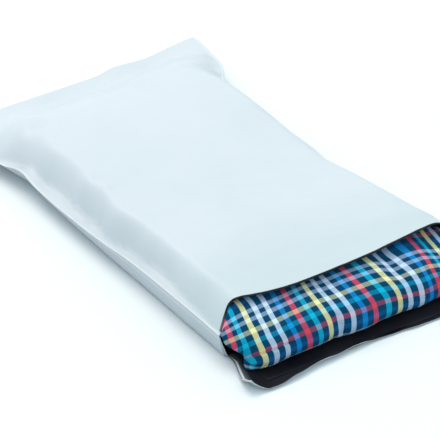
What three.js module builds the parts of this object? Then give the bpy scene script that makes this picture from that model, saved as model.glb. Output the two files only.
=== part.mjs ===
// A poly mailer bag, filled with a folded check garment and still open at the mouth.
// Millimetres, +X across the bag, -Y towards the mouth, +Z up. The origin is the middle of the
// bounding box's underside, so the bag lies on the plane z = 0.
import * as THREE from 'three';

// The bag: one web of film, folded at the closed end and welded down both sides.
const FLAT_WIDTH = 254;
const FRONT_LENGTH = 395;
const LIP_LENGTH = 43;
const FILM_THICKNESS = 0.5;
const WELD_WIDTH = 0.8;
const WELD_HEIGHT = 20;
const MOUTH_GATHER = 5;
const FILL_GATHER = 0.34;
const MOUTH_BOW = 6;
const MOUTH_BOW_SIDE = 0.25;
const LIP_EDGE_CURL = 1.25;

// The closed end lies clear of the table beyond the folded garment, a little askew and tilted.
const END_HEIGHT = 16;
const END_TILT = 3.5;
const END_SKEW = 9;
const END_FOLD_HEIGHT = 2.2;
const END_FOLD_DEPTH = 1.5;
const END_TAPER = 92;

// The shape of the film's section where it bends round the garment.
const BOTTOM_BEND = 9;
const BOTTOM_BEND_POWER = 1.5;
const SHOULDER_BEND = 31;
const SHOULDER_BEND_POWER = 2.4;

// The closure on the lip's inner side: a band of adhesive under a release liner.
const CLOSURE_SIDE_ROOM = 7.5;
const ADHESIVE_WIDTH = 12;
const LINER_WIDTH = 26;
const CLOSURE_THICKNESS = 0.25;
const CLOSURE_TO_LIP_EDGE = 6;

// The garment, folded into a flat pack that the bag just takes. Its rolled front fold stands out
// of the mouth, its sides are round where the film's shoulders are, and its back end reaches a
// share of the way into the bag's taper.
const GARMENT_HEIGHT = 43.5;
const GARMENT_OVERHANG = 34;
const GARMENT_TAPER_SHARE = 0.24;
const GARMENT_SIDE_ROOM = 7.5;
const GARMENT_FRONT_TIP = 12;
const GARMENT_FRONT_ROUND = 42;
const GARMENT_FRONT_UNDERCUT = 11;
const GARMENT_SHOULDER_ROOM = 3;
const GARMENT_SIDE_UNDERCUT = 12;
const GARMENT_BACK_ROUND = 34;
const GARMENT_BACK_UNDERCUT = 28;
const CLEARANCE = 0.4;

// How finely the curved surfaces are divided.
const HALF_SPANS = 12;
const FILM_ROWS = 20;
const LIP_ROWS = 4;
const GARMENT_ROWS = 20;
const EDGE_CROWDING = 1.8;

// Places that follow from the sizes above.
const TOTAL_LENGTH = FRONT_LENGTH + END_SKEW + LIP_LENGTH;
const LIP_Y = -TOTAL_LENGTH / 2;
const MOUTH_Y = LIP_Y + LIP_LENGTH;
const END_Y = MOUTH_Y + FRONT_LENGTH;
const GARMENT_BOTTOM = FILM_THICKNESS + 2 * CLOSURE_THICKNESS + CLEARANCE;
const FILL_HEIGHT = GARMENT_BOTTOM + GARMENT_HEIGHT + CLEARANCE + FILM_THICKNESS;
const FLAT_HALF = FLAT_WIDTH / 2;
const FILLED_HALF = FLAT_HALF - FILL_GATHER * FILL_HEIGHT;
const MOUTH_HALF = FILLED_HALF - MOUTH_GATHER;
const CLOSURE_LENGTH = 2 * (MOUTH_HALF - BOTTOM_BEND - CLOSURE_SIDE_ROOM);
const GARMENT_HALF = MOUTH_HALF - GARMENT_SIDE_ROOM;
const GARMENT_SIDE_ROUND = SHOULDER_BEND - GARMENT_SHOULDER_ROOM;
const GARMENT_FRONT = MOUTH_Y - GARMENT_OVERHANG;
const GARMENT_BACK = END_Y - END_TAPER * (1 - GARMENT_TAPER_SHARE);

const mix = (from, to, share) => from + (to - from) * share;
const clamp01 = (value) => Math.min(Math.max(value, 0), 1);

function smooth(value) {
  const share = clamp01(value);
  return share * share * (3 - 2 * share);
}

// Shares from -1 to 1 across the bag, crowded towards both welds where the film bends.
function sharesAcross() {
  const shares = [];
  for (let step = -HALF_SPANS; step <= HALF_SPANS; step += 1) {
    const inward = 1 - Math.abs(step) / HALF_SPANS;
    shares.push(Math.sign(step) * (1 - inward ** EDGE_CROWDING));
  }
  return shares;
}

// The film's station at a share of the way from the mouth (0) to the end fold (1).
function bagStation(share) {
  const taper = smooth((share * FRONT_LENGTH - (FRONT_LENGTH - END_TAPER)) / END_TAPER);
  const filledHalf = mix(MOUTH_HALF, FILLED_HALF, smooth(2 * share));
  return {
    half: mix(filledHalf, FLAT_HALF, taper),
    weld: mix(WELD_HEIGHT, END_HEIGHT, taper),
    top: mix(FILL_HEIGHT, END_HEIGHT + END_FOLD_HEIGHT / 2, taper),
    bottom: mix(0, END_HEIGHT - END_FOLD_HEIGHT / 2, taper),
    tilt: END_TILT * taper,
  };
}

// The lip's station at a share of the way from the mouth (0) to the lip's edge (1). Its sides
// come down from the welds to the table.
function lipStation(share) {
  return {
    half: MOUTH_HALF,
    weld: mix(WELD_HEIGHT, LIP_EDGE_CURL, smooth(share)),
    bottom: 0,
    tilt: 0,
  };
}

// The height of the film's underside and of its top at a distance in from the weld.
function undersideHeight(station, fromWeld) {
  const bend = (1 - clamp01(fromWeld / BOTTOM_BEND)) ** BOTTOM_BEND_POWER;
  return mix(station.bottom, station.weld, bend);
}

function topHeight(station, fromWeld) {
  const bend = (1 - clamp01(fromWeld / SHOULDER_BEND)) ** SHOULDER_BEND_POWER;
  return mix(station.top, station.weld, bend);
}

// The mouth's edge bows forward over the garment, and the end fold runs a little askew.
const mouthY = (x) => MOUTH_Y - MOUTH_BOW * (Math.cos((Math.PI / 2) * (x / MOUTH_HALF)) - MOUTH_BOW_SIDE);
const endY = (x) => END_Y + END_SKEW * (x / FLAT_HALF);

// One point of the film. side is 'under' or 'over', and inner points lie on the dark inside.
function filmPoint(station, across, y, side, inner) {
  const outerX = across * station.half;
  const fromWeld = station.half - Math.abs(outerX);
  const height = side === 'under' ? undersideHeight(station, fromWeld) : topHeight(station, fromWeld);
  const tilt = station.tilt * across;
  if (!inner) {
    return [outerX, y, height + tilt];
  }
  const reach = Math.abs((side === 'under' ? station.bottom : station.top) - station.weld);
  const shrink = (reach - FILM_THICKNESS) / reach;
  return [across * (station.half - WELD_WIDTH), y, mix(station.weld, height, shrink) + tilt];
}

// Gathers points and faces into one closed surface.
function surface() {
  const positions = [];
  const faces = [];
  return {
    point(coordinates) {
      positions.push(...coordinates);
      return positions.length / 3 - 1;
    },
    quad(a, b, c, d) {
      faces.push(a, b, c, a, c, d);
    },
    triangle(a, b, c) {
      faces.push(a, b, c);
    },
    geometry() {
      const result = new THREE.BufferGeometry();
      result.setAttribute('position', new THREE.Float32BufferAttribute(positions, 3));
      result.setIndex(faces);
      result.computeVertexNormals();
      return result;
    },
  };
}

// A skin of the bag, outside or inside: a loop of points for each row from the mouth to the fold,
// and strips of points for the lip. A loop runs along the underside from the left weld to the
// right one, then back over the top.
function filmSkin(shell, inner) {
  const across = sharesAcross();
  const foldShare = inner ? 1 - END_FOLD_DEPTH / FRONT_LENGTH : 1;
  const loops = [];
  for (let row = 0; row <= FILM_ROWS; row += 1) {
    const share = (row / FILM_ROWS) * foldShare;
    const station = bagStation(share);
    const place = (position, side) => {
      const x = position * station.half;
      return shell.point(filmPoint(station, position, mix(mouthY(x), endY(x), share), side, inner));
    };
    const under = across.map((position) => place(position, 'under'));
    const over = across.slice(1, -1).reverse().map((position) => place(position, 'over'));
    loops.push([...under, ...over]);
  }
  const strips = [loops[0].slice(0, across.length)];
  for (let row = 1; row <= LIP_ROWS; row += 1) {
    const share = row / LIP_ROWS;
    const station = lipStation(share);
    strips.push(across.map((position) => {
      const x = position * station.half;
      return shell.point(filmPoint(station, position, mix(mouthY(x), LIP_Y, share), 'under', inner));
    }));
  }
  return { loops, strips };
}

// Faces between neighbouring rows of a skin. flip turns them to look the other way.
function skinFaces(shell, rows, closed, flip) {
  for (let row = 0; row + 1 < rows.length; row += 1) {
    const count = rows[row].length;
    for (let index = 0; index < (closed ? count : count - 1); index += 1) {
      const next = (index + 1) % count;
      const corners = [rows[row][index], rows[row + 1][index], rows[row + 1][next], rows[row][next]];
      shell.quad(...(flip ? corners.reverse() : corners));
    }
  }
}

// The end of a skin: its top and underside are joined across the fold.
function foldFaces(shell, loop, flip) {
  const last = 2 * HALF_SPANS;
  const over = (index) => (index === 0 || index === last ? loop[index] : loop[2 * last - index]);
  for (let index = 0; index < last; index += 1) {
    const corners = [loop[index], over(index), over(index + 1), loop[index + 1]];
    const ordered = flip ? corners.reverse() : corners;
    if (index === 0 || index === last - 1) {
      shell.triangle(...new Set(ordered));
    } else {
      shell.quad(...ordered);
    }
  }
}

// The bare edge of the film between two lines of points, one on each skin.
function edgeFaces(shell, outerLine, innerLine) {
  for (let index = 0; index + 1 < outerLine.length; index += 1) {
    shell.quad(outerLine[index], outerLine[index + 1], innerLine[index + 1], innerLine[index]);
  }
}

// The bag: front panel, back panel and lip, from one web of two-tone film.
function bagFilm() {
  const shell = surface();
  const outer = filmSkin(shell, false);
  const inner = filmSkin(shell, true);
  skinFaces(shell, outer.loops, true, false);
  skinFaces(shell, inner.loops, true, true);
  foldFaces(shell, outer.loops[FILM_ROWS], false);
  foldFaces(shell, inner.loops[FILM_ROWS], true);
  skinFaces(shell, outer.strips, false, true);
  skinFaces(shell, inner.strips, false, false);

  const last = 2 * HALF_SPANS;
  const frontEdge = (skin) => [...skin.loops[0].slice(last), skin.loops[0][0]];
  edgeFaces(shell, frontEdge(outer), frontEdge(inner));
  const lipEdge = (skin) => [
    ...skin.strips.map((strip) => strip[0]),
    ...skin.strips[LIP_ROWS].slice(1, -1),
    ...skin.strips.map((strip) => strip[last]).reverse(),
  ];
  edgeFaces(shell, lipEdge(outer), lipEdge(inner));
  return shell.geometry();
}

// A flat strip that lies on the lip's inner side, centred across the bag.
function lipStrip(width, layer) {
  const strip = new THREE.BoxGeometry(CLOSURE_LENGTH, width, CLOSURE_THICKNESS);
  const height = FILM_THICKNESS + (layer + 0.5) * CLOSURE_THICKNESS;
  strip.translate(0, LIP_Y + CLOSURE_TO_LIP_EDGE + LINER_WIDTH / 2, height);
  return strip;
}

// How full a rounded edge is, from 0 at its tip to 1 where it reaches full thickness.
function roundedShare(fromTip, round) {
  return Math.sqrt(1 - (1 - clamp01(fromTip / round)) ** 2);
}

// The folded garment: a cushion-like pack with a rolled front fold that overhangs its foot.
function foldedGarment() {
  const pack = surface();
  const across = sharesAcross();
  const heights = (x, y) => {
    const fromSide = GARMENT_HALF - Math.abs(x);
    const fromFront = y - GARMENT_FRONT;
    const fromBack = GARMENT_BACK - y;
    const tip = mix(GARMENT_FRONT_TIP, WELD_HEIGHT, smooth(fromFront / GARMENT_FRONT_ROUND));
    const over = roundedShare(fromSide, GARMENT_SIDE_ROUND)
      * roundedShare(fromFront, GARMENT_FRONT_ROUND) * roundedShare(fromBack, GARMENT_BACK_ROUND);
    const under = roundedShare(fromSide, GARMENT_SIDE_UNDERCUT)
      * roundedShare(fromFront, GARMENT_FRONT_UNDERCUT) * roundedShare(fromBack, GARMENT_BACK_UNDERCUT);
    return {
      over: mix(tip, GARMENT_BOTTOM + GARMENT_HEIGHT, over),
      under: mix(tip, GARMENT_BOTTOM, under),
    };
  };
  const rows = [];
  for (let row = 0; row <= GARMENT_ROWS; row += 1) {
    const y = mix(GARMENT_FRONT, GARMENT_BACK, (1 - Math.cos((Math.PI * row) / GARMENT_ROWS)) / 2);
    const isEnd = row === 0 || row === GARMENT_ROWS;
    const columns = across.map((share) => share * GARMENT_HALF);
    const under = columns.map((x) => pack.point([x, y, heights(x, y).under]));
    const over = columns.map((x, index) => {
      const isSide = index === 0 || index === columns.length - 1;
      return isEnd || isSide ? under[index] : pack.point([x, y, heights(x, y).over]);
    });
    rows.push({ under, over });
  }
  skinFaces(pack, rows.map((row) => row.under), false, false);
  skinFaces(pack, rows.map((row) => row.over), false, true);
  return pack.geometry();
}

const filmMaterial = new THREE.MeshStandardMaterial({ color: 0xd9e8ee, roughness: 0.45, metalness: 0 });
const adhesiveMaterial = new THREE.MeshStandardMaterial({ color: 0x2a2826, roughness: 0.35, metalness: 0 });
const linerMaterial = new THREE.MeshStandardMaterial({ color: 0x34343a, roughness: 0.25, metalness: 0 });
const garmentMaterial = new THREE.MeshStandardMaterial({ color: 0x1d4f86, roughness: 0.9, metalness: 0 });

function named(name, geometry, material) {
  const mesh = new THREE.Mesh(geometry, material);
  mesh.name = name;
  return mesh;
}

const mailer = new THREE.Group();
mailer.add(
  named('bag_film', bagFilm(), filmMaterial),
  named('adhesive_strip', lipStrip(ADHESIVE_WIDTH, 0), adhesiveMaterial),
  named('release_liner', lipStrip(LINER_WIDTH, 1), linerMaterial),
  named('folded_garment', foldedGarment(), garmentMaterial),
);

export default mailer;
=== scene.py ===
import math

import bmesh
import bpy
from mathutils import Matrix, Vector, noise


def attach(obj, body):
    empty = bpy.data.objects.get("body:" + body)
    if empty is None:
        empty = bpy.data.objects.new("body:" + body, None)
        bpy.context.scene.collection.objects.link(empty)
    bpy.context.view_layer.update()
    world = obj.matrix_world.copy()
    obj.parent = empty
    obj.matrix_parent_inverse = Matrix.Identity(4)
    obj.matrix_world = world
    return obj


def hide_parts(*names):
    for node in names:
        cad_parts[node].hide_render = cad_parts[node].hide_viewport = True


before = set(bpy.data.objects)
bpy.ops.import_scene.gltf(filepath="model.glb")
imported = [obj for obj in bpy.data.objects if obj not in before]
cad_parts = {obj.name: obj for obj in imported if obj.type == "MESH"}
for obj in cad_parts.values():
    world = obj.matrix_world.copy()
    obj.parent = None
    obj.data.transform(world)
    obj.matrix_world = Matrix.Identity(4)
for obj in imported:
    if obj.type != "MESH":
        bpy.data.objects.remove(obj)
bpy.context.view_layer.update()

# Camera. It stands to the left in front of the bag and looks down along it with a long lens,
# so that the closed end's left corner and the lip's right end lie outside the picture.
CAMERA_TURN = math.radians(-32.7)
CAMERA_RISE = math.radians(31.7)
CAMERA_DISTANCE = 1.5506
CAMERA_TARGET = Vector((-0.0032, -0.0219, 0.0))
CAMERA_LENS = 163.6

towards_camera = Vector((
    math.sin(CAMERA_TURN) * math.cos(CAMERA_RISE),
    -math.cos(CAMERA_TURN) * math.cos(CAMERA_RISE),
    math.sin(CAMERA_RISE),
))
camera = bpy.data.objects.new("camera", bpy.data.cameras.new("camera"))
camera.data.lens = CAMERA_LENS
camera.data.sensor_width = 36.0
camera.location = CAMERA_TARGET + towards_camera * CAMERA_DISTANCE
camera.rotation_euler = (-towards_camera).to_track_quat("-Z", "Y").to_euler()
bpy.context.scene.collection.objects.link(camera)
bpy.context.scene.camera = camera


# Studio. A pale table top in a white room, with a large soft light high above the bag and a
# little behind it. The shadow is a narrow, soft and slightly blue line around the bag.
FLOOR_HALF_WIDTH = 4.0
FLOOR_DROP = 0.0002
FLOOR_COLOUR = (0.562, 0.61, 0.63, 1.0)
ROOM_COLOUR = (0.86, 0.95, 1.0, 1.0)
ROOM_STRENGTH = 1.52
LIGHT_PLACE = Vector((-0.3, 0.65, 1.9))
LIGHT_WIDTH = 1.3
LIGHT_POWER = 27.0
LIGHT_COLOUR = (1.0, 0.84, 0.72)


def link_piece(name, content):
    piece = bpy.data.objects.new(name, content)
    bpy.context.scene.collection.objects.link(piece)
    return piece


def new_material(name):
    material = bpy.data.materials.new(name)
    material.use_nodes = True
    return material, material.node_tree.nodes["Principled BSDF"]


floor_mesh = bpy.data.meshes.new("table_top")
floor_shape = bmesh.new()
bmesh.ops.create_grid(floor_shape, x_segments=1, y_segments=1, size=FLOOR_HALF_WIDTH)
floor_shape.to_mesh(floor_mesh)
floor_shape.free()
floor = link_piece("table_top", floor_mesh)
floor.location.z = -FLOOR_DROP
floor_material, floor_shader = new_material("table_top")
floor_shader.inputs["Base Color"].default_value = FLOOR_COLOUR
floor_shader.inputs["Roughness"].default_value = 0.9
floor_shader.inputs["Specular IOR Level"].default_value = 0.1
floor_mesh.materials.append(floor_material)

room = bpy.data.worlds.new("white_room")
room.use_nodes = True
background = room.node_tree.nodes["Background"]
background.inputs["Color"].default_value = ROOM_COLOUR
background.inputs["Strength"].default_value = ROOM_STRENGTH
bpy.context.scene.world = room
bpy.context.scene.view_settings.view_transform = "Standard"

light = bpy.data.lights.new("overhead_light", "AREA")
light.size = LIGHT_WIDTH
light.energy = LIGHT_POWER
light.color = LIGHT_COLOUR
lamp = link_piece("overhead_light", light)
lamp.location = LIGHT_PLACE
lamp.rotation_euler = (-LIGHT_PLACE).to_track_quat("-Z", "Y").to_euler()


# Bag film. One web of two-tone polyethylene, pale blue-white outside and black inside, folded
# once at the closed end and hot-welded down both sides. Its back panel runs on as the lip.
# Sizes here and in the sections below are in millimetres, but the materials read metres.
MM = 0.001
FLAT_HALF_WIDTH = 127.0
PANEL_LENGTH = 395.0
LIP_LENGTH = 43.0
MOUTH_Y = -180.5
CLOSED_Y = MOUTH_Y + PANEL_LENGTH
CLOSED_SKEW = 9.0
FILM_THICKNESS = 0.2
LAYER_GAP = 0.5
LAYER_GAP_RUN = 2
WELD_FIN = 1.0

# The grid: columns stand closer towards the welds. The outer ones are welded film. On the lip,
# the columns with the numbers below, counted from its edge, take the weld material: the first two
# show the pale film at its raised edge, and the fourth is a painted highlight on its crease's
# crest. The other slots are black and pale.
SPANS_ACROSS = 104
COLUMN_CROWDING = 1.4
PANEL_ROWS = 180
WELD_SHARE = 0.96
LIP_EDGE_AND_HIGHLIGHT_COLUMNS = (0, 1, 3)
BLACK_SLOT = 1
WELD_AND_HIGHLIGHT_SLOT = 2
MERGE_DISTANCE = 0.02

# Places along the bag, each a pair of y and the value there.
SEAM_LEFT = ((-181, -106), (-120, -107), (-60, -108.5), (-20, -111), (50, -113.5), (95, -114),
             (108, -115.5), (130, -119), (160, -124), (195, -126.5), (214, -127))
SEAM_RIGHT = ((-181, 110), (-120, 107), (-75, 104.5), (-38, 99), (0, 102), (25, 102), (60, 104),
              (95, 105.5), (125, 105), (136, 107), (148, 115), (162, 120.5), (185, 124),
              (214, 127))
SEAM_LEFT_HEIGHT = ((-181, 22.5), (-90, 21.5), (0, 17.5), (60, 16.5), (80, 17), (103, 20.5),
                    (125, 16), (150, 13.5), (214, 12.5))
SEAM_RIGHT_HEIGHT = ((-181, 22), (-60, 20), (100, 20), (150, 19), (214, 20))
SHOULDER_LEFT = ((-181, 20), (-155, 18), (-124, 15), (-90, 13), (-55, 12), (-20, 12), (20, 14),
                 (90, 16), (110, 26), (160, 46), (214, 60))
SHOULDER_RIGHT = ((-181, 30), (60, 30), (110, 34), (160, 50), (214, 60))
SHOULDER_FLARE = ((-181, 0.05), (-100, 0.15), (-20, 0.5), (60, 0.7), (214, 0.8))
FLANGE_LEFT = ((-181, 0), (-160, 2), (-135, 4), (-95, 6.5), (-52, 5.5), (-25, 3.5), (5, 8),
               (40, 9), (100, 8), (150, 3))
FOOT_BEND = ((-181, 7.6), (-130, 7), (-60, 7.5), (0, 11.5), (50, 15), (95, 19), (160, 30),
             (214, 60))
TOP_HEIGHT = ((-181, 46), (-100, 45.8), (100, 45.2), (128, 42.5), (150, 36), (175, 26.5),
              (195, 19.8), (214, 15.2))
RIGHT_SIDE_RISE = ((-181, 2.2), (-120, -0.5), (-60, -2.8), (0, -2.5), (60, -0.5), (110, -0.5),
                   (132, 1.0), (155, 4.5), (180, 3.5), (205, 0))
UNDERSIDE_HEIGHT = ((-181, 0.2), (118, 0.2), (150, 3.5), (180, 8.5), (214, 12.6))

# Places across the bag, each a pair of x and the value there.
MOUTH_EDGE_Y = ((-106, -180.5), (-102, -179.2), (-98.5, -177.8), (-94, -175.7), (-91, -176.2),
                (-87, -178), (-77, -180), (-69, -182), (-60, -184.2), (-42, -185.4), (-25, -185),
                (-7, -183.9), (24, -181.8), (55, -179.5), (80, -177.3), (110, -176))
CLOSED_FOLD_HEIGHT = ((-127, 12.5), (-60, 12), (20, 12.2), (42, 15.6), (72, 13.9), (105, 16.2),
                      (127, 20))

# How the top and the underside close in on that fold, and how the sides bend to the welds.
CLOSING_START_Y = 150
CLOSING_RUN = 64
CLOSED_HALF_HEIGHT = 1.1
RIGHT_SIDE_RUN = 70
LEFT_SHOULDER_POWER = 2.5
RIGHT_SHOULDER_POWER = 2.4
FLARE_POWER = 0.8
FOOT_POWER = 2.1
FLANGE_SLOPE = 0.22

# Dents lie beside the welds only; folds and waves fade out there and at the closed end.
SETTLING_RUN = 12
DENTS_START = 2
DENTS_RUN = 6
FOLDS_END_Y = 196
FOLDS_END_RUN = 18

# Random waves in the film, each a rise, its lengths across and along, and a layer of the noise.
# Those of the flange and the shoulder run along a line of the noise that has its own place.
FLANGE_WAVES = ((0.25, 21, 1, 5.5),)
FLANGE_LINE = 0.4
SHOULDER_WAVES = ((0.28, 26, 1, 8.5),)
SHOULDER_LINE = 0.8
LEFT_DENTS = ((3.2, 9, 19, 3.3), (1.6, 5, 8, 6.3))
TOP_WAVES = ((0.9, 60, 80, 0.3), (0.35, 17, 26, 4.1))
LIP_WAVES = ((1, 14, 9, 2.2),)
CRINKLE_START_Y = 60
CRINKLE_RUN = 120
CRINKLE_RISE = 0.28
CRINKLE_LENGTHS = (9, 30, 7)
CRINKLE_LAYER = 9.7

# The lip: where its end lies on the table and how high that end curls up, at places across.
LIP_END_Y = ((-114, -221), (-110, -222), (-107, -223), (-104, -224), (-101, -225), (-97, -226.5),
             (-93, -227.2), (-86, -227.2), (-72, -225.6), (-64, -224.5), (-51, -222),
             (-36, -221.3), (-18, -219.7), (0, -218.8), (14, -219.2), (25, -219.5), (36, -221),
             (50, -221), (111, -222))
LIP_END_CURL = ((-111, 0.6), (-97, 1.0), (-93, 2.0), (-88, 1.9), (-79, 2.6), (-72, 3.4),
                (-59, 3.6), (-50, 3.9), (-42, 4.3), (-30, 3.5), (-20, 3.9), (-12, 3.6), (2, 1.3),
                (24, 1.1), (55, 0.9), (111, 0.8))
LIP_CURL_REACH = 5.5
LIP_CURL_POWER = 1.6

# Its side edge and that edge's height, at shares of its length from the mouth to its end.
LIP_SIDE_X = ((0, -106), (0.025, -99.0), (0.06, -97.8), (0.27, -100.5), (0.45, -103.2),
              (0.65, -106), (1, -110))
LIP_SIDE_HEIGHT = ((0, 22.5), (0.025, 3.2), (0.06, 1.4), (0.27, 0.9), (1, 1.2))
LIP_START_SHARE = 0.03
MOUTH_CURVE_SHARE = 0.15
MARGIN_RUN_SHARE = 0.2
WAVE_RUN_SHARE = 0.3
MOUTH_SIDE_BEND = 7.6
LIP_SIDE_BEND = 3.0
LIP_SIDE_POWER = 1.5
LIP_WAVE_RISE = 0.5

# The lip's left corner is bent up along a slanting line, given by two places on it.
CORNER_FOLD = ((-108, -200), (-93, -229))
CORNER_RISE = 0.85
CORNER_SOFTNESS = 0.6

# The rows of the lip's grid, from its end to the mouth, as shares of its length.
LIP_SHARES = (1, 0.985, 0.97, 0.955, 0.94, 0.92, 0.9, 0.88, 0.85, 0.82, 0.78, 0.74, 0.7, 0.65,
              0.6, 0.55, 0.5, 0.45, 0.4, 0.35, 0.3, 0.25, 0.2, 0.16, 0.12, 0.09, 0.06, 0.04,
              0.025, 0.012)

# The lip's margins: a raised edge, a groove, a sharp crease and a slope down to the flat film.
MARGIN_EDGE_RISE = 0.7
MARGIN_EDGE_REACH = 1.6
MARGIN_CREASE_RISE = 2.0
MARGIN_CREASE_PLACE = 2.95
MARGIN_CREASE_HALF_WIDTH = 0.9
MARGIN_SLOPE_RISE = 1.3
MARGIN_SLOPE_START = 2.2
MARGIN_SLOPE_START_RUN = 1.5
MARGIN_SLOPE_END = 9.5
MARGIN_SLOPE_RUN = 6.0

# Soft folds pressed into or raised on the top of the film: start, end, half-width and rise.
TOP_FOLDS = (
    ((84, 171), (114, 158), 7.0, -6.0),
    ((90, 192), (117, 181), 8.0, 4.5),
    ((60, 150), (98, 150), 10.0, 1.4),
    ((-110, 101), (-86, 118), 8.0, -3.0),
    ((-120, 118), (-84, 134), 9.0, 2.4),
    ((-92, -118), (-90, -178), 7.0, 1.0),
    ((-90, 2), (-110, -12), 5.0, 1.3),
    ((-92, 14), (-108, 6), 6.0, -1.0),
    ((20, 196), (46, 216), 6.0, 1.2),
    ((62, 196), (74, 217), 6.0, -0.9),
    ((-60, 150), (-30, 206), 12.0, -1.2),
    ((30, 140), (60, 150), 12.0, -1.0),
    ((50, -150), (95, -160), 10.0, 0.8),
)


def mix(start, end, share):
    return start + (end - start) * share


def smooth(share):
    share = min(max(share, 0.0), 1.0)
    return share * share * (3.0 - 2.0 * share)


def along(places, where):
    # A smooth line through the places, level at its turning points.
    if where <= places[0][0]:
        return places[0][1]
    if where >= places[-1][0]:
        return places[-1][1]
    index = 0
    while places[index + 1][0] < where:
        index += 1

    def slope(at):
        if at in (0, len(places) - 1):
            return 0.0
        before = (places[at][1] - places[at - 1][1]) / (places[at][0] - places[at - 1][0])
        after = (places[at + 1][1] - places[at][1]) / (places[at + 1][0] - places[at][0])
        return 0.0 if before * after <= 0 else 2 * before * after / (before + after)

    span = places[index + 1][0] - places[index][0]
    t = (where - places[index][0]) / span
    return ((2 * t**3 - 3 * t**2 + 1) * places[index][1]
            + (t**3 - 2 * t**2 + t) * span * slope(index)
            + (3 * t**2 - 2 * t**3) * places[index + 1][1]
            + (t**3 - t**2) * span * slope(index + 1))


def waves(x, y, layers):
    return sum(rise * noise.noise(Vector((x / length_x, y / length_y, layer)))
               for rise, length_x, length_y, layer in layers)


def fold_rise(x, y, start, end, half_width, rise):
    run_x = end[0] - start[0]
    run_y = end[1] - start[1]
    t = ((x - start[0]) * run_x + (y - start[1]) * run_y) / (run_x**2 + run_y**2)
    t = min(max(t, 0.0), 1.0)
    apart = math.hypot(x - start[0] - t * run_x, y - start[1] - t * run_y)
    return rise * math.exp(-((apart / half_width) ** 2))


def seam_place(y, across):
    if across < 0:
        return along(SEAM_LEFT, y), along(SEAM_LEFT_HEIGHT, y)
    return along(SEAM_RIGHT, y), along(SEAM_RIGHT_HEIGHT, y)


def closed_end_y(x):
    return CLOSED_Y + CLOSED_SKEW * x / FLAT_HALF_WIDTH


def row_y(x, share):
    return mix(along(MOUTH_EDGE_Y, x), closed_end_y(x), share)


def closing(nominal_y):
    return smooth((nominal_y - CLOSING_START_Y) / CLOSING_RUN)


def film_top(across, share):
    # A share runs from 0 at the mouth to 1 at the closed end, and across from -1 to 1.
    nominal_y = mix(MOUTH_Y, CLOSED_Y, share)
    seam_x, seam_height = seam_place(nominal_y, across)
    x = abs(across) * seam_x
    y = row_y(x, share)
    inward = max(abs(seam_x) - abs(x) - WELD_FIN, 0.0)
    shoulder = along(SHOULDER_LEFT if across < 0 else SHOULDER_RIGHT, nominal_y)
    crown = along(TOP_HEIGHT, nominal_y)
    crown += smooth(x / RIGHT_SIDE_RUN) * along(RIGHT_SIDE_RISE, nominal_y)
    fold_top = along(CLOSED_FOLD_HEIGHT, x) + CLOSED_HALF_HEIGHT
    crown = mix(crown, fold_top, closing(nominal_y))
    settled = smooth(inward / SETTLING_RUN)
    if across < 0:
        # Beside the pack's left side the film first runs out nearly flat to the weld.
        flange = along(FLANGE_LEFT, nominal_y) * (1 + waves(y, FLANGE_LINE, FLANGE_WAVES))
        shoulder *= 1 + waves(y, SHOULDER_LINE, SHOULDER_WAVES)
        flange_rise = FLANGE_SLOPE * min(inward, flange)
        reach = min(max(inward - flange, 0.0) / shoulder, 1.0)
        convex = 1 - (1 - reach) ** LEFT_SHOULDER_POWER
        z = mix(seam_height + flange_rise, crown, convex)
        dented = smooth((inward - DENTS_START) / DENTS_RUN) * (1 - settled)
        z += dented * waves(inward, y, LEFT_DENTS)
    else:
        reach = min(inward / shoulder, 1.0)
        convex = 1 - (1 - reach) ** RIGHT_SHOULDER_POWER
        flared = smooth(reach**FLARE_POWER)
        z = mix(seam_height, crown, mix(convex, flared, along(SHOULDER_FLARE, nominal_y)))
    near_end = 1 - smooth((nominal_y - FOLDS_END_Y) / FOLDS_END_RUN)
    for fold in TOP_FOLDS:
        z += fold_rise(x, y, *fold) * settled * near_end
    z += settled * near_end * waves(x, y, TOP_WAVES)

    # Towards the mouth the film is finely crinkled.
    crinkle = smooth((CRINKLE_START_Y - y) / CRINKLE_RUN) * settled
    length_x, slant, length_y = CRINKLE_LENGTHS
    crinkle_place = Vector((x / length_x + y / slant, y / length_y, CRINKLE_LAYER))
    z += CRINKLE_RISE * crinkle * noise.noise(crinkle_place)
    gap = LAYER_GAP * smooth((abs(seam_x) - abs(x)) / LAYER_GAP_RUN)
    return x, y, max(z, film_underside(across, share)[2] + gap)


def film_underside(across, share):
    nominal_y = mix(MOUTH_Y, CLOSED_Y, share)
    seam_x, seam_height = seam_place(nominal_y, across)
    x = abs(across) * seam_x
    inward = max(abs(seam_x) - abs(x) - WELD_FIN, 0.0)
    bottom = along(UNDERSIDE_HEIGHT, nominal_y)
    fold_bottom = along(CLOSED_FOLD_HEIGHT, x) - CLOSED_HALF_HEIGHT
    bottom = mix(bottom, fold_bottom, closing(nominal_y))
    bend = (1 - min(inward / along(FOOT_BEND, nominal_y), 1.0)) ** FOOT_POWER
    return x, row_y(x, share), mix(bottom, seam_height, bend)


def margin_profile(inward):
    from_crease = (inward - MARGIN_CREASE_PLACE) / MARGIN_CREASE_HALF_WIDTH
    crease = MARGIN_CREASE_RISE * math.exp(-(from_crease**2))
    slope = MARGIN_SLOPE_RISE * smooth((MARGIN_SLOPE_END - inward) / MARGIN_SLOPE_RUN)
    slope *= smooth((inward - MARGIN_SLOPE_START) / MARGIN_SLOPE_START_RUN)
    return MARGIN_EDGE_RISE * smooth(1 - inward / MARGIN_EDGE_REACH) + crease + slope


def corner_rise(x, y):
    # How far the lip's left corner is bent up at a place beyond its slanting fold.
    start, end = CORNER_FOLD
    run_x = end[0] - start[0]
    run_y = end[1] - start[1]
    beyond = (x - start[0]) * run_y - (y - start[1]) * run_x
    beyond = max(beyond / math.hypot(run_x, run_y), 0.0)
    return CORNER_RISE * beyond**2 / (beyond + CORNER_SOFTNESS)


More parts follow.
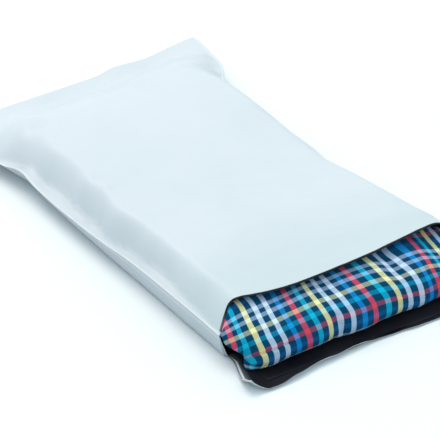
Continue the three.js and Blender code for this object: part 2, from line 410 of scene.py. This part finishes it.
def lip_place(across, share):
    side_x = along(LIP_SIDE_X, share)
    x = -across * side_x
    inward = abs(side_x) * (1 - abs(across))
    start_y = along(MOUTH_EDGE_Y, x) if abs(across) < 1 else MOUTH_Y
    y = mix(MOUTH_Y, along(LIP_END_Y, x), share)
    y = mix(start_y, y, smooth(share / MOUTH_CURVE_SHARE))
    bend = mix(MOUTH_SIDE_BEND, LIP_SIDE_BEND, smooth(share / LIP_START_SHARE))
    z = along(LIP_SIDE_HEIGHT, share) * (1 - min(inward / bend, 1.0)) ** LIP_SIDE_POWER
    z += smooth((share - LIP_START_SHARE) / MARGIN_RUN_SHARE) * margin_profile(inward)

    # The end of the lip curls up from the table, and its left corner is bent up.
    from_end = (1 - share) * LIP_LENGTH
    z += along(LIP_END_CURL, x) * max(1 - from_end / LIP_CURL_REACH, 0.0) ** LIP_CURL_POWER
    z += corner_rise(x, y)
    z += LIP_WAVE_RISE * smooth(share / WAVE_RUN_SHARE) * (0.5 + waves(x, y, LIP_WAVES))
    return x, y, max(z, FILM_THICKNESS)


def film_rows():
    rows = [("lip", share) for share in LIP_SHARES]
    shares = [row / PANEL_ROWS for row in range(PANEL_ROWS + 1)]
    rows += [("underside", share) for share in shares]
    rows.append(("fold", 1.0))
    rows += [("top", share) for share in reversed(shares)]
    return rows


def film_place(part, across, share):
    if part == "lip":
        return lip_place(across, share)
    under = film_underside(across, share)
    if part == "underside":
        return under
    over = film_top(across, share)
    if part == "top":
        return over
    # The closed end is a half-round fold between the two panels.
    height = over[2] - under[2]
    return under[0], under[1] + height / 2, (under[2] + over[2]) / 2


def film_mesh():
    rows = film_rows()
    shape = bmesh.new()
    shape.loops.layers.uv.new("web")
    bmesh.ops.create_grid(shape, x_segments=SPANS_ACROSS, y_segments=len(rows) - 1, size=1.0,
                          calc_uvs=True)
    places = {}
    for vertex in shape.verts:
        inward = 1 - abs(vertex.co.x)
        across = math.copysign(1 - inward**COLUMN_CROWDING, vertex.co.x)
        part, share = rows[round((vertex.co.y + 1) / 2 * (len(rows) - 1))]
        places[vertex] = film_place(part, across, share)
    for face in shape.faces:
        face.smooth = True
        middle = face.calc_center_median()
        part = rows[round((middle.y + 1) / 2 * (len(rows) - 1))][0]
        column = int((1 - abs(middle.x)) * SPANS_ACROSS / 2)
        # On the lip: the pale raised edge, and a painted highlight on the crease's crest.
        if part == "lip" and column in LIP_EDGE_AND_HIGHLIGHT_COLUMNS:
            face.material_index = WELD_AND_HIGHLIGHT_SLOT
        elif part != "lip" and max(abs(vertex.co.x) for vertex in face.verts) > WELD_SHARE:
            face.material_index = WELD_AND_HIGHLIGHT_SLOT
        elif part == "top" and any(vertex.is_boundary for vertex in face.verts):
            # A row along the mouth's cut edge takes the black layer: partly the film's black
            # edge, and widened to a full row as painted shade of the gap between the film and the
            # cloth.
            face.material_index = BLACK_SLOT
    for vertex in shape.verts:
        vertex.co = Vector(places[vertex]) * MM
    bmesh.ops.reverse_faces(shape, faces=shape.faces)
    bmesh.ops.remove_doubles(shape, verts=shape.verts, dist=MERGE_DISTANCE * MM)
    mesh = bpy.data.meshes.new("bag_film_skin")
    shape.to_mesh(mesh)
    shape.free()
    return mesh


def link_nodes(material, start, end):
    material.node_tree.links.new(start, end)


def new_node(material, kind):
    return material.node_tree.nodes.new("ShaderNode" + kind)


def math_node(material, operation, first, *rest):
    # The first input is a socket, and any others are numbers or sockets.
    node = new_node(material, "Math")
    node.operation = operation
    link_nodes(material, first, node.inputs[0])
    for number, value in enumerate(rest, start=1):
        if isinstance(value, float):
            node.inputs[number].default_value = value
        else:
            link_nodes(material, value, node.inputs[number])
    return node.outputs[0]


def add_bump(material, shader, height_socket, strength, distance):
    bump = new_node(material, "Bump")
    bump.inputs["Strength"].default_value = strength
    bump.inputs["Distance"].default_value = distance
    link_nodes(material, height_socket, bump.inputs["Height"])
    link_nodes(material, bump.outputs["Normal"], shader.inputs["Normal"])


def surface_noise(material, scale, detail, stretch=(1.0, 1.0, 1.0)):
    coordinates = new_node(material, "TexCoord")
    mapping = new_node(material, "Mapping")
    mapping.inputs["Scale"].default_value = stretch
    link_nodes(material, coordinates.outputs["Object"], mapping.inputs["Vector"])
    texture = new_node(material, "TexNoise")
    texture.inputs["Scale"].default_value = scale
    texture.inputs["Detail"].default_value = detail
    texture.inputs["Roughness"].default_value = 0.5
    link_nodes(material, mapping.outputs["Vector"], texture.inputs["Vector"])
    return texture.outputs["Fac"]


def tone_ramp(material, factor_socket, low_colour, high_colour, low=0.3, high=0.7):
    ramp = new_node(material, "ValToRGB")
    ramp.color_ramp.elements[0].position = low
    ramp.color_ramp.elements[0].color = low_colour
    ramp.color_ramp.elements[1].position = high
    ramp.color_ramp.elements[1].color = high_colour
    link_nodes(material, factor_socket, ramp.inputs["Fac"])
    return ramp.outputs["Color"]


def grey(value):
    return (value, value, value, 1.0)


def mixed_colour(material, blend, factor):
    # A node that blends its input B into A; factor is None where a socket is linked to it.
    blender = new_node(material, "Mix")
    blender.data_type = "RGBA"
    blender.blend_type = blend
    if factor is not None:
        blender.inputs["Factor"].default_value = factor
    return blender


# The pale outer side.
FILM_IOR = 1.51
PALE_DARK = (0.368, 0.416, 0.448, 1.0)
PALE_LIGHT = (0.390, 0.436, 0.466, 1.0)
# Painted shade towards the mouth: the colour the film is multiplied by, and where it starts and
# is full.
MOUTH_PAINTED_SHADE = (0.89, 0.96, 0.945, 1.0)
MOUTH_SHADE_START_Y = -0.085
MOUTH_SHADE_FULL_Y = -0.19

pale_film, pale_shader = new_material("film_outside")
pale_tone = tone_ramp(pale_film, surface_noise(pale_film, 14.0, 3.0), PALE_DARK, PALE_LIGHT)

# Painted shade: towards the mouth the film's colour is made a little darker and more teal.
pale_place = new_node(pale_film, "TexCoord")
pale_parts = new_node(pale_film, "SeparateXYZ")
link_nodes(pale_film, pale_place.outputs["Object"], pale_parts.inputs["Vector"])
pale_shade = new_node(pale_film, "MapRange")
pale_shade.interpolation_type = "SMOOTHSTEP"
pale_shade.inputs["From Min"].default_value = MOUTH_SHADE_START_Y
pale_shade.inputs["From Max"].default_value = MOUTH_SHADE_FULL_Y
link_nodes(pale_film, pale_parts.outputs["Y"], pale_shade.inputs["Value"])
pale_mix = mixed_colour(pale_film, "MULTIPLY", None)
pale_mix.inputs["B"].default_value = MOUTH_PAINTED_SHADE
link_nodes(pale_film, pale_shade.outputs["Result"], pale_mix.inputs["Factor"])
link_nodes(pale_film, pale_tone, pale_mix.inputs["A"])
link_nodes(pale_film, pale_mix.outputs["Result"], pale_shader.inputs["Base Color"])
pale_gloss = tone_ramp(pale_film, surface_noise(pale_film, 60.0, 4.0), grey(0.40), grey(0.52))
link_nodes(pale_film, pale_gloss, pale_shader.inputs["Roughness"])
pale_shader.inputs["Specular IOR Level"].default_value = 0.4
pale_shader.inputs["IOR"].default_value = FILM_IOR
add_bump(pale_film, pale_shader, surface_noise(pale_film, 900.0, 2.0), 0.25, 0.0002)

# The black inner side. Beside the welds it is painted grey as a painted sheen of light on its
# sloping margins, between two places that are shares of the web's width from its middle.
BLACK_DARK = (0.008, 0.008, 0.012, 1.0)
BLACK_LIGHT = (0.015, 0.015, 0.021, 1.0)
PAINTED_SHEEN_COLOUR = (0.085, 0.09, 0.095, 1.0)
PAINTED_SHEEN_START = 0.42
PAINTED_SHEEN_FULL = 0.458

black_film, black_shader = new_material("film_inside")
black_tone = tone_ramp(black_film, surface_noise(black_film, 30.0, 3.0), BLACK_DARK, BLACK_LIGHT)
web_map = new_node(black_film, "UVMap")
web_map.uv_map = "web"
web_place = new_node(black_film, "VectorMath")
web_place.operation = "SUBTRACT"
web_place.inputs[1].default_value = (0.5, 0.0, 0.0)
link_nodes(black_film, web_map.outputs["UV"], web_place.inputs[0])
web_parts = new_node(black_film, "SeparateXYZ")
link_nodes(black_film, web_place.outputs["Vector"], web_parts.inputs["Vector"])
from_middle = math_node(black_film, "ABSOLUTE", web_parts.outputs["X"])
# Painted sheen: grey added to the black film beside the welds.
painted_sheen = tone_ramp(black_film, from_middle, grey(0.0), PAINTED_SHEEN_COLOUR,
                    low=PAINTED_SHEEN_START, high=PAINTED_SHEEN_FULL)
black_sum = mixed_colour(black_film, "ADD", 1.0)
link_nodes(black_film, black_tone, black_sum.inputs["A"])
link_nodes(black_film, painted_sheen, black_sum.inputs["B"])
link_nodes(black_film, black_sum.outputs["Result"], black_shader.inputs["Base Color"])
black_gloss = tone_ramp(black_film, surface_noise(black_film, 80.0, 3.0), grey(0.32), grey(0.45))
link_nodes(black_film, black_gloss, black_shader.inputs["Roughness"])
black_shader.inputs["Specular IOR Level"].default_value = 0.05
black_shader.inputs["IOR"].default_value = FILM_IOR
add_bump(black_film, black_shader, surface_noise(black_film, 700.0, 2.0), 0.3, 0.0002)

# The welds are the same pale film, melted together: smoother and glossier, with no black showing.
# Their lighter
# # colour is partly a painted highlight along the seam's rim, and this material also paints the
# bright crest on the lip's margin.
WELD_AND_HIGHLIGHT_DARK = (0.405, 0.455, 0.487, 1.0)
WELD_AND_HIGHLIGHT_LIGHT = (0.43, 0.48, 0.51, 1.0)

weld_and_highlight_film, weld_and_highlight_shader = new_material("film_weld_and_highlight")
weld_and_highlight_tone = tone_ramp(weld_and_highlight_film, surface_noise(weld_and_highlight_film, 160.0, 2.0), WELD_AND_HIGHLIGHT_DARK, WELD_AND_HIGHLIGHT_LIGHT)
link_nodes(weld_and_highlight_film, weld_and_highlight_tone, weld_and_highlight_shader.inputs["Base Color"])
weld_and_highlight_shader.inputs["Roughness"].default_value = 0.3
weld_and_highlight_shader.inputs["IOR"].default_value = FILM_IOR
add_bump(weld_and_highlight_film, weld_and_highlight_shader, surface_noise(weld_and_highlight_film, 500.0, 2.0), 0.3, 0.0002)

film = link_piece("bag_film_skin", film_mesh())
for material in (pale_film, black_film, weld_and_highlight_film):
    film.data.materials.append(material)
film_wall = film.modifiers.new("two_tone_wall", "SOLIDIFY")
film_wall.thickness = FILM_THICKNESS * MM
film_wall.offset = -1.0
film_wall.material_offset = BLACK_SLOT
film_wall.material_offset_rim = 0
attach(film, "root")
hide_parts("bag_film")


# Closure. A band of hot-melt adhesive on the lip's black side, under a strip of dark release
# film that is peeled away when the bag is sealed. Both lie along the lip's inner side.
STRIP_HALF_LENGTH = 89.9
STRIP_SPANS = 90
STRIP_ROWS = 10
STRIP_WANDER = 0.3
STRIP_WANDER_LENGTH = 25
ADHESIVE_EDGES = (-210.5, -198.5)
ADHESIVE_LIFT = 0.10
ADHESIVE_THICKNESS = 0.15
ADHESIVE_DARK = (0.004, 0.004, 0.005, 1.0)
ADHESIVE_LIGHT = (0.010, 0.010, 0.011, 1.0)
LINER_EDGES = (-217.0, -191.5)
LINER_LIFT = 0.28
LINER_THICKNESS = 0.05
LINER_DARK = (0.006, 0.006, 0.009, 1.0)
LINER_LIGHT = (0.012, 0.012, 0.016, 1.0)


def lip_surface_height(x, y):
    # The height of the lip's inner side. It is read at the mirrored place across, where it
    # differs by at most 1.3 mm.
    share = min(max((y - MOUTH_Y) / (along(LIP_END_Y, x) - MOUTH_Y), 0.0), 1.0)
    across = -x / abs(along(LIP_SIDE_X, share))
    return lip_place(across, share)[2] + FILM_THICKNESS


def strip_piece(name, edges, lift, thickness):
    shape = bmesh.new()
    bmesh.ops.create_grid(shape, x_segments=STRIP_SPANS, y_segments=STRIP_ROWS, size=1.0)
    for vertex in shape.verts:
        x = vertex.co.x * STRIP_HALF_LENGTH
        y = mix(edges[0], edges[1], (vertex.co.y + 1) / 2)
        y += STRIP_WANDER * noise.noise(Vector((x / STRIP_WANDER_LENGTH, 0.0, edges[0])))
        vertex.co = Vector((x, y, lip_surface_height(x, y) + lift)) * MM
    for face in shape.faces:
        face.smooth = True
    mesh = bpy.data.meshes.new(name)
    shape.to_mesh(mesh)
    shape.free()
    piece = link_piece(name, mesh)
    wall = piece.modifiers.new("wall", "SOLIDIFY")
    wall.thickness = thickness * MM
    wall.offset = 1.0
    return piece


adhesive = strip_piece("adhesive_band", ADHESIVE_EDGES, ADHESIVE_LIFT, ADHESIVE_THICKNESS)
adhesive_material, adhesive_shader = new_material("adhesive")
adhesive_tone = tone_ramp(adhesive_material, surface_noise(adhesive_material, 220.0, 3.0),
                          ADHESIVE_DARK, ADHESIVE_LIGHT, low=0.35)
link_nodes(adhesive_material, adhesive_tone, adhesive_shader.inputs["Base Color"])
adhesive_shader.inputs["Roughness"].default_value = 0.5
adhesive_shader.inputs["Specular IOR Level"].default_value = 0.05
adhesive_grain = surface_noise(adhesive_material, 500.0, 3.0, stretch=(0.3, 1.0, 1.0))
add_bump(adhesive_material, adhesive_shader, adhesive_grain, 0.5, 0.0003)
adhesive.data.materials.append(adhesive_material)
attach(adhesive, "root")
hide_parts("adhesive_strip")

liner = strip_piece("release_film", LINER_EDGES, LINER_LIFT, LINER_THICKNESS)
liner_material, liner_shader = new_material("release_film")
liner_tone = tone_ramp(liner_material, surface_noise(liner_material, 40.0, 3.0),
                       LINER_DARK, LINER_LIGHT)
link_nodes(liner_material, liner_tone, liner_shader.inputs["Base Color"])
liner_shader.inputs["Roughness"].default_value = 0.38
liner_shader.inputs["Specular IOR Level"].default_value = 0.07
liner_grain = surface_noise(liner_material, 90.0, 2.0, stretch=(0.35, 1.0, 1.0))
add_bump(liner_material, liner_shader, liner_grain, 0.2, 0.0008)
liner.data.materials.append(liner_material)
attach(liner, "root")
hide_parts("release_liner")


# Folded garment. A yarn-dyed cotton check shirt folded into a flat pack, with a rolled fold
# towards the mouth. It fills the bag and gives the film its shape.
GARMENT_TOP = 44.0
GARMENT_UNDERSIDE = 1.5
GARMENT_SIDE_ROOM = 8.0
GARMENT_FILM_ROOM = 0.6
GARMENT_BACK_Y = 144.0
ROLL_START_Y = -172.5
ROLL_MIDDLE = 12.0
UNDER_DEPTH = 11.0
SIDE_MIDDLE = 20.0

# The grid: rows on the top, down the roll, under it and along the bottom, closer near the roll.
CLOTH_SPANS = 200
CLOTH_CROWDING = 1.5
TOP_ROWS = 70
ROLL_ROWS = 65
UNDER_ROWS = 20
BOTTOM_ROWS = 40
ROW_CROWDING = 1.15

# How deep the pack's sides and back are rounded, above and below its middle, the end of its
# straight sides, and where it passes into the roll.
SIDE_ROUNDING = (28.0, 12.0)
BACK_ROUNDING = (34.0, 28.0)
STRAIGHT_END_Y = 90
ROLL_BLEND_Y = -158
ROLL_BLEND_RUN = 16

# How far forward the roll reaches at places across it, and sags in its top under the film's
# edge: place, half-width and depth.
ROLL_FRONT_Y = ((-107, -211.5), (-80, -211.5), (-65, -209.5), (-37, -209), (-27, -208.3),
                (-11, -210.5), (0, -210.5), (20, -207.7), (36, -207.7), (50, -209.5),
                (68, -207.5), (110, -208.5))
TOP_SAGS = ((-22, 9, 1.4), (36, 8, 3.4), (80, 13, 5.5))

# The whole top also sags a little there, between these two places.
MOUTH_SAG = 2.8
SAG_FRONT_Y = -212
SAG_FRONT_RUN = 22
SAG_BACK_Y = -150
SAG_BACK_RUN = 30

# The roll's left border in space, at distances down the cloth: it runs slantwise under the
# roll and ends in a small rolled hem. The right border is its mirror image.
BORDER_X = ((-30, -101), (0, -104.5), (13.6, -106.5), (20, -107.8), (29, -107), (33, -104),
            (37.5, -100.2), (42, -96.7), (46.5, -94.5), (54.5, -94.5), (61, -96.5), (68, -96.5),
            (80, -90), (95, -86), (110, -86))
BORDER_Y = ((-30, -155), (0, -174), (13.6, -181.5), (20, -184.5), (29, -187.5), (33, -191.5),
            (37.5, -193.9), (42, -194.5), (46.5, -196.5), (54.5, -202), (61, -196), (68, -200),
            (80, -195), (95, -180), (110, -160))
BORDER_Z = ((-30, 38), (0, 38), (13.6, 31.5), (20, 27.5), (29, 22.5), (33, 20), (37.5, 17),
            (42, 13.8), (46.5, 10), (54.5, 7.5), (61, 5), (68, 2.5), (80, 2), (95, 3), (110, 3))
BORDER_LEFT_X = -104.0
BORDER_RIGHT_X = 103.0
BORDER_REACH = 26.0
HEM_TURN = 0.8

# The line inside the roll that the hem turns in to.
SPINE_SHARE = 0.79
SPINE_SETBACK = 12
SPINE_FRONT_Y = -178.0
SPINE_HEIGHT = 20.0

# Soft waves in the roll, where they start and end down the cloth, and how far forward and up
# they push it.
ROLL_WAVES = ((1.2, 34, 30, 1.5), (0.5, 12, 22, 7.5))
ROLL_WAVES_START = -10
ROLL_WAVES_START_RUN = 20
ROLL_WAVES_END = 75
ROLL_WAVES_END_RUN = 10
WAVE_FORWARD = -1.0
WAVE_UP = 0.4

# The cloth is held down by the film. In front of the film's edge the limit still holds for a
# few millimetres, and rises on each of them.
FILM_LIMIT_REACH = 8.0
FILM_LIMIT_SLOPE = 1.6

# Stripe numbers at places across the cloth and down the roll: red 0, cyan 1, yellow 2,
# white 3 and 4, blue 5, and red again at 6. The stripes wander sideways on their way down.
# The stripes that run across also sway and slant a little.
CHECK_REPEAT = 6
STRIPE_SWAY = 2.0
STRIPE_SWAY_X = -10
STRIPE_SWAY_LENGTH = 26
STRIPE_SLANT = 0.02
STRIPES_ACROSS = ((-150, -10), (-101.3, -5), (-52.9, 0), (-7.9, 5), (3, 6.1), (14, 7), (53.4, 11),
                  (77.8, 14), (130, 20))
STRIPES_DOWN = ((-400, 49), (4, 5), (13.2, 4), (19.4, 3), (28.6, 2), (36.7, 1), (46.3, 0),
                (54.5, -1), (400, -38))
DRIFT_PLACES = (
    (-102, ((5, 8.5), (15, 8), (25, 8), (35, 9), (45, 10), (55, 11))),
    (-96, ((5, 6.3), (15, 4.8), (25, 4.3), (35, 5.2), (45, 8.3), (55, 10))),
    (-88, ((5, 4.5), (15, 3), (25, 2.1), (35, 2.2), (45, 3.9), (55, 5.2))),
    (-79, ((5, 2.7), (15, 1.4), (25, -0.1), (35, 0), (45, 2.4), (55, 4))),
    (-52, ((5, 0.9), (15, -0.8), (25, -0.8), (35, 0.3), (45, 2.3), (55, 3.8))),
    (-16, ((5, -1.8), (15, -1.2), (25, 0.7), (35, 2.6), (45, 4.7), (55, 4.7))),
    (18, ((5, -5), (15, -3.1), (25, -0.7), (35, 2.9), (45, 6.1), (55, 6.6))),
    (45, ((5, -4.2), (15, -2.5), (25, 0.2), (35, 2.6), (45, 4.2), (55, 4.9))),
    (63, ((5, 0.8), (15, 0.7), (25, 2.1), (35, 2.5), (45, 4.4), (55, 5))),
)

# Small creases in the roll: start and end as places across and down, half-width and depth.
CLOTH_CREASES = (
    ((-98, 47.5), (-63, 48.5), 0.9, 1.5),
    ((-25, 43), (-20, 57), 2.6, 1.6),
    ((8, 33), (13, 52), 3.0, 1.3),
    ((-58, 30), (-52, 56), 5.0, 0.9),
    ((38, 28), (46, 50), 5.0, 0.8),
    ((-84, 40), (-78, 58), 4.0, 0.8),
    ((60, 22), (66, 48), 4.0, 0.9),
)


def cloth_rows():
    # Rows along the cloth's section: from the back of the top, down the roll and back below.
    quarter = math.pi / 2
    rows = [("top", (step / TOP_ROWS) ** ROW_CROWDING) for step in range(TOP_ROWS, 0, -1)]
    rows += [("roll", quarter * step / ROLL_ROWS) for step in range(ROLL_ROWS)]
    rows += [("under", quarter * step / UNDER_ROWS) for step in range(UNDER_ROWS)]
    rows += [("bottom", (step / BOTTOM_ROWS) ** ROW_CROWDING) for step in range(BOTTOM_ROWS + 1)]
    return rows


def section_place(row, x):
    part, step = row
    front_y = along(ROLL_FRONT_Y, x)
    if part == "top":
        return mix(ROLL_START_Y, GARMENT_BACK_Y, step), GARMENT_TOP
    if part == "roll":
        return (mix(ROLL_START_Y, front_y, math.sin(step)),
                ROLL_MIDDLE + (GARMENT_TOP - ROLL_MIDDLE) * math.cos(step))
    if part == "under":
        return (front_y + UNDER_DEPTH * (1 - math.cos(step)),
                ROLL_MIDDLE - (ROLL_MIDDLE - GARMENT_UNDERSIDE) * math.sin(step))
    return mix(front_y + UNDER_DEPTH, GARMENT_BACK_Y, step), GARMENT_UNDERSIDE


def rounded(inward, depth):
    share = min(max(inward / depth, 0.0), 1.0)
    return math.sqrt(1 - (1 - share) ** 2)


def film_height_over(x, y):
    # The height of the film's top over a place inside the bag.
    mouth = along(MOUTH_EDGE_Y, x)
    share = min(max((y - mouth) / (closed_end_y(x) - mouth), 0.0), 1.0)
    seam_x = seam_place(mix(MOUTH_Y, CLOSED_Y, share), x)[0]
    return film_top(x / abs(seam_x), share)[2] - FILM_THICKNESS


def border_place(down, side):
    x = along(BORDER_X, down)
    if side > 0:
        x = BORDER_RIGHT_X - (x - BORDER_LEFT_X)
    return Vector((x, along(BORDER_Y, down), along(BORDER_Z, down)))


def cloth_place(row, down, share):
    # A share of -1 is the left border of the cloth and 1 the right one.
    y = section_place(row, 0.0)[0]
    in_front = smooth((ROLL_BLEND_Y - y) / ROLL_BLEND_RUN)
    side_y = min(y, STRAIGHT_END_Y)
    left_x = mix(along(SEAM_LEFT, side_y) + GARMENT_SIDE_ROOM, BORDER_LEFT_X, in_front)
    right_x = mix(along(SEAM_RIGHT, side_y) - GARMENT_SIDE_ROOM, BORDER_RIGHT_X, in_front)
    x = mix(left_x, right_x, (share + 1) / 2)
    y, z = section_place(row, x)
    inward = min(x - left_x, right_x - x)

    # The pack's sides and back are rounded off.
    half = 0 if z > SIDE_MIDDLE else 1
    side = rounded(inward, SIDE_ROUNDING[half])
    back = rounded(GARMENT_BACK_Y - y, BACK_ROUNDING[half])
    pack = Vector((x, y, mix(SIDE_MIDDLE, z, side * back)))

    # The roll in front is drawn in to its borders.
    roll = Vector((x, y, z))
    edge_x = left_x if share < 0 else right_x
    edge_y, edge_z = section_place(row, edge_x)
    pull = max(1 - inward / BORDER_REACH, 0.0) ** 2
    border = border_place(down, share)
    roll += (border - Vector((edge_x, edge_y, edge_z))) * pull
    hem = 1 - smooth(inward / HEM_TURN)
    spine_y = max(border.y + SPINE_SETBACK, SPINE_FRONT_Y)
    roll = roll.lerp(Vector((edge_x * SPINE_SHARE, spine_y, SPINE_HEIGHT)), hem)
    place = pack.lerp(roll, in_front)

    sag_share = smooth((place.y - SAG_FRONT_Y) / SAG_FRONT_RUN)
    sag_share *= smooth((SAG_BACK_Y - place.y) / SAG_BACK_RUN)
    if z > SIDE_MIDDLE:
        place.z -= MOUTH_SAG * sag_share
        for middle, half_width, depth in TOP_SAGS:
            place.z -= depth * sag_share * math.exp(-(((x - middle) / half_width) ** 2))
    return place, side


def woven_place(x, down):
    # Where a place on the cloth lies in its weave, in repeats of the check.
    drift = along([(drift_x, along(places, down)) for drift_x, places in DRIFT_PLACES], x)
    sway = STRIPE_SWAY * math.cos((x - STRIPE_SWAY_X) / STRIPE_SWAY_LENGTH)
    stripe_down = down + sway - STRIPE_SLANT * x
    return (along(STRIPES_ACROSS, x - drift) / CHECK_REPEAT,
            along(STRIPES_DOWN, stripe_down) / CHECK_REPEAT)


def cloth_ripple(x, down, side):
    on_roll = smooth((down - ROLL_WAVES_START) / ROLL_WAVES_START_RUN)
    on_roll *= smooth((ROLL_WAVES_END - down) / ROLL_WAVES_END_RUN)
    ripple = on_roll * side * waves(x, down, ROLL_WAVES)
    for start, end, half_width, depth in CLOTH_CREASES:
        ripple += fold_rise(x, down, start, end, half_width, -depth)
    return ripple


def garment_mesh():
    rows = cloth_rows()
    lengths = [0.0]
    for before, after in zip(rows, rows[1:]):
        start = section_place(before, 0.0)
        end = section_place(after, 0.0)
        lengths.append(lengths[-1] + math.hypot(end[0] - start[0], end[1] - start[1]))
    shape = bmesh.new()
    weave = shape.loops.layers.uv.new("weave")
    bmesh.ops.create_grid(shape, x_segments=CLOTH_SPANS, y_segments=len(rows) - 1, size=1.0)
    woven = {}
    for vertex in shape.verts:
        row = round((vertex.co.y + 1) / 2 * (len(rows) - 1))
        down = lengths[row] - lengths[TOP_ROWS]
        from_border = (1 - abs(vertex.co.x)) ** CLOTH_CROWDING
        share = math.copysign(1 - from_border, vertex.co.x)
        place, side = cloth_place(rows[row], down, share)
        woven[vertex] = woven_place(place.x, down)
        ripple = cloth_ripple(place.x, down, side)
        place += Vector((0.0, WAVE_FORWARD * ripple, WAVE_UP * ripple))
        place.z = max(place.z, GARMENT_UNDERSIDE)
        past_edge = along(MOUTH_EDGE_Y, place.x) - place.y
        if past_edge < FILM_LIMIT_REACH:
            limit = film_height_over(place.x, place.y) - GARMENT_FILM_ROOM
            place.z = min(place.z, limit + FILM_LIMIT_SLOPE * max(past_edge, 0.0))
        vertex.co = place * MM
    for face in shape.faces:
        face.smooth = True
        for loop in face.loops:
            loop[weave].uv = woven[loop.vert]
    bmesh.ops.remove_doubles(shape, verts=shape.verts, dist=MERGE_DISTANCE * MM)
    bmesh.ops.recalc_face_normals(shape, faces=shape.faces)
    mesh = bpy.data.meshes.new("check_garment")
    shape.to_mesh(mesh)
    shape.free()
    return mesh


STRIPE_HALF_SHARE = 0.037
NAVY = (0.001, 0.040, 0.094, 1.0)
WARP_THREADS = (
    (0.62, 0.050, 0.085, 1.0),
    (0.004, 0.385, 0.57, 1.0),
    (0.70, 0.68, 0.30, 1.0),
    (0.48, 0.62, 0.76, 1.0),
    (0.48, 0.62, 0.76, 1.0),
    (0.003, 0.22, 0.56, 1.0),
)
WEFT_THREADS = (
    (0.36, 0.048, 0.080, 1.0),
    (0.004, 0.28, 0.46, 1.0),
    (0.45, 0.50, 0.32, 1.0),
    (0.29, 0.41, 0.57, 1.0),
    (0.29, 0.41, 0.57, 1.0),
    (0.004, 0.09, 0.26, 1.0),
)

# Twill: warp threads float over two weft threads, a step further along on each.
THREADS_PER_REPEAT = 110.0
WEFT_SHARE = 0.42
WEFT_SWING = 0.18


def stripe_ramp(material, coordinate_socket, ground, threads):
    # Six threads of one repeat, each a stripe between bands of the ground colour.
    shifted = math_node(material, "ADD", coordinate_socket, 0.5 / CHECK_REPEAT)
    ramp = new_node(material, "ValToRGB")
    ramp.color_ramp.interpolation = "CONSTANT"
    elements = ramp.color_ramp.elements
    elements[0].position = 0.0
    elements[0].color = ground
    elements.remove(elements[1])
    for number, thread in enumerate(threads):
        middle = (number + 0.5) / CHECK_REPEAT
        begin = elements.new(middle - STRIPE_HALF_SHARE)
        begin.color = thread
        end = elements.new(middle + STRIPE_HALF_SHARE)
        end.color = ground
    link_nodes(material, math_node(material, "FRACT", shifted), ramp.inputs["Fac"])
    return ramp.outputs["Color"]


def thread_wave(material, map_socket, direction):
    scaled = new_node(material, "VectorMath")
    scaled.operation = "DOT_PRODUCT"
    scaled.inputs[1].default_value = direction
    link_nodes(material, map_socket, scaled.inputs[0])
    return math_node(material, "SINE", scaled.outputs["Value"])


check_cloth, cloth_shader = new_material("check_cloth")
weave_map = new_node(check_cloth, "UVMap")
weave_map.uv_map = "weave"
weave_socket = weave_map.outputs["UV"]
weave_parts = new_node(check_cloth, "SeparateXYZ")
link_nodes(check_cloth, weave_socket, weave_parts.inputs["Vector"])
warp_colour = stripe_ramp(check_cloth, weave_parts.outputs["X"], NAVY, WARP_THREADS)
weft_colour = stripe_ramp(check_cloth, weave_parts.outputs["Y"], NAVY, WEFT_THREADS)
turns = 2 * math.pi * THREADS_PER_REPEAT
twill = thread_wave(check_cloth, weave_socket, (turns / 2, turns / 2, 0.0))
warp_ribs = thread_wave(check_cloth, weave_socket, (turns, 0.0, 0.0))
weft_shown = math_node(check_cloth, "MULTIPLY_ADD", twill, WEFT_SWING, WEFT_SHARE)
cloth_mix = mixed_colour(check_cloth, "MIX", None)
link_nodes(check_cloth, weft_shown, cloth_mix.inputs["Factor"])
link_nodes(check_cloth, warp_colour, cloth_mix.inputs["A"])
link_nodes(check_cloth, weft_colour, cloth_mix.inputs["B"])
link_nodes(check_cloth, cloth_mix.outputs["Result"], cloth_shader.inputs["Base Color"])
thread_height = math_node(check_cloth, "ADD", twill, warp_ribs)
add_bump(check_cloth, cloth_shader, thread_height, 0.35, 0.00015)
cloth_shader.inputs["Roughness"].default_value = 0.85
cloth_shader.inputs["Specular IOR Level"].default_value = 0.03
cloth_shader.inputs["Sheen Weight"].default_value = 0.02
cloth_shader.inputs["Sheen Roughness"].default_value = 0.5

garment = link_piece("check_garment", garment_mesh())
garment.data.materials.append(check_cloth)
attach(garment, "root")
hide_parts("folded_garment")
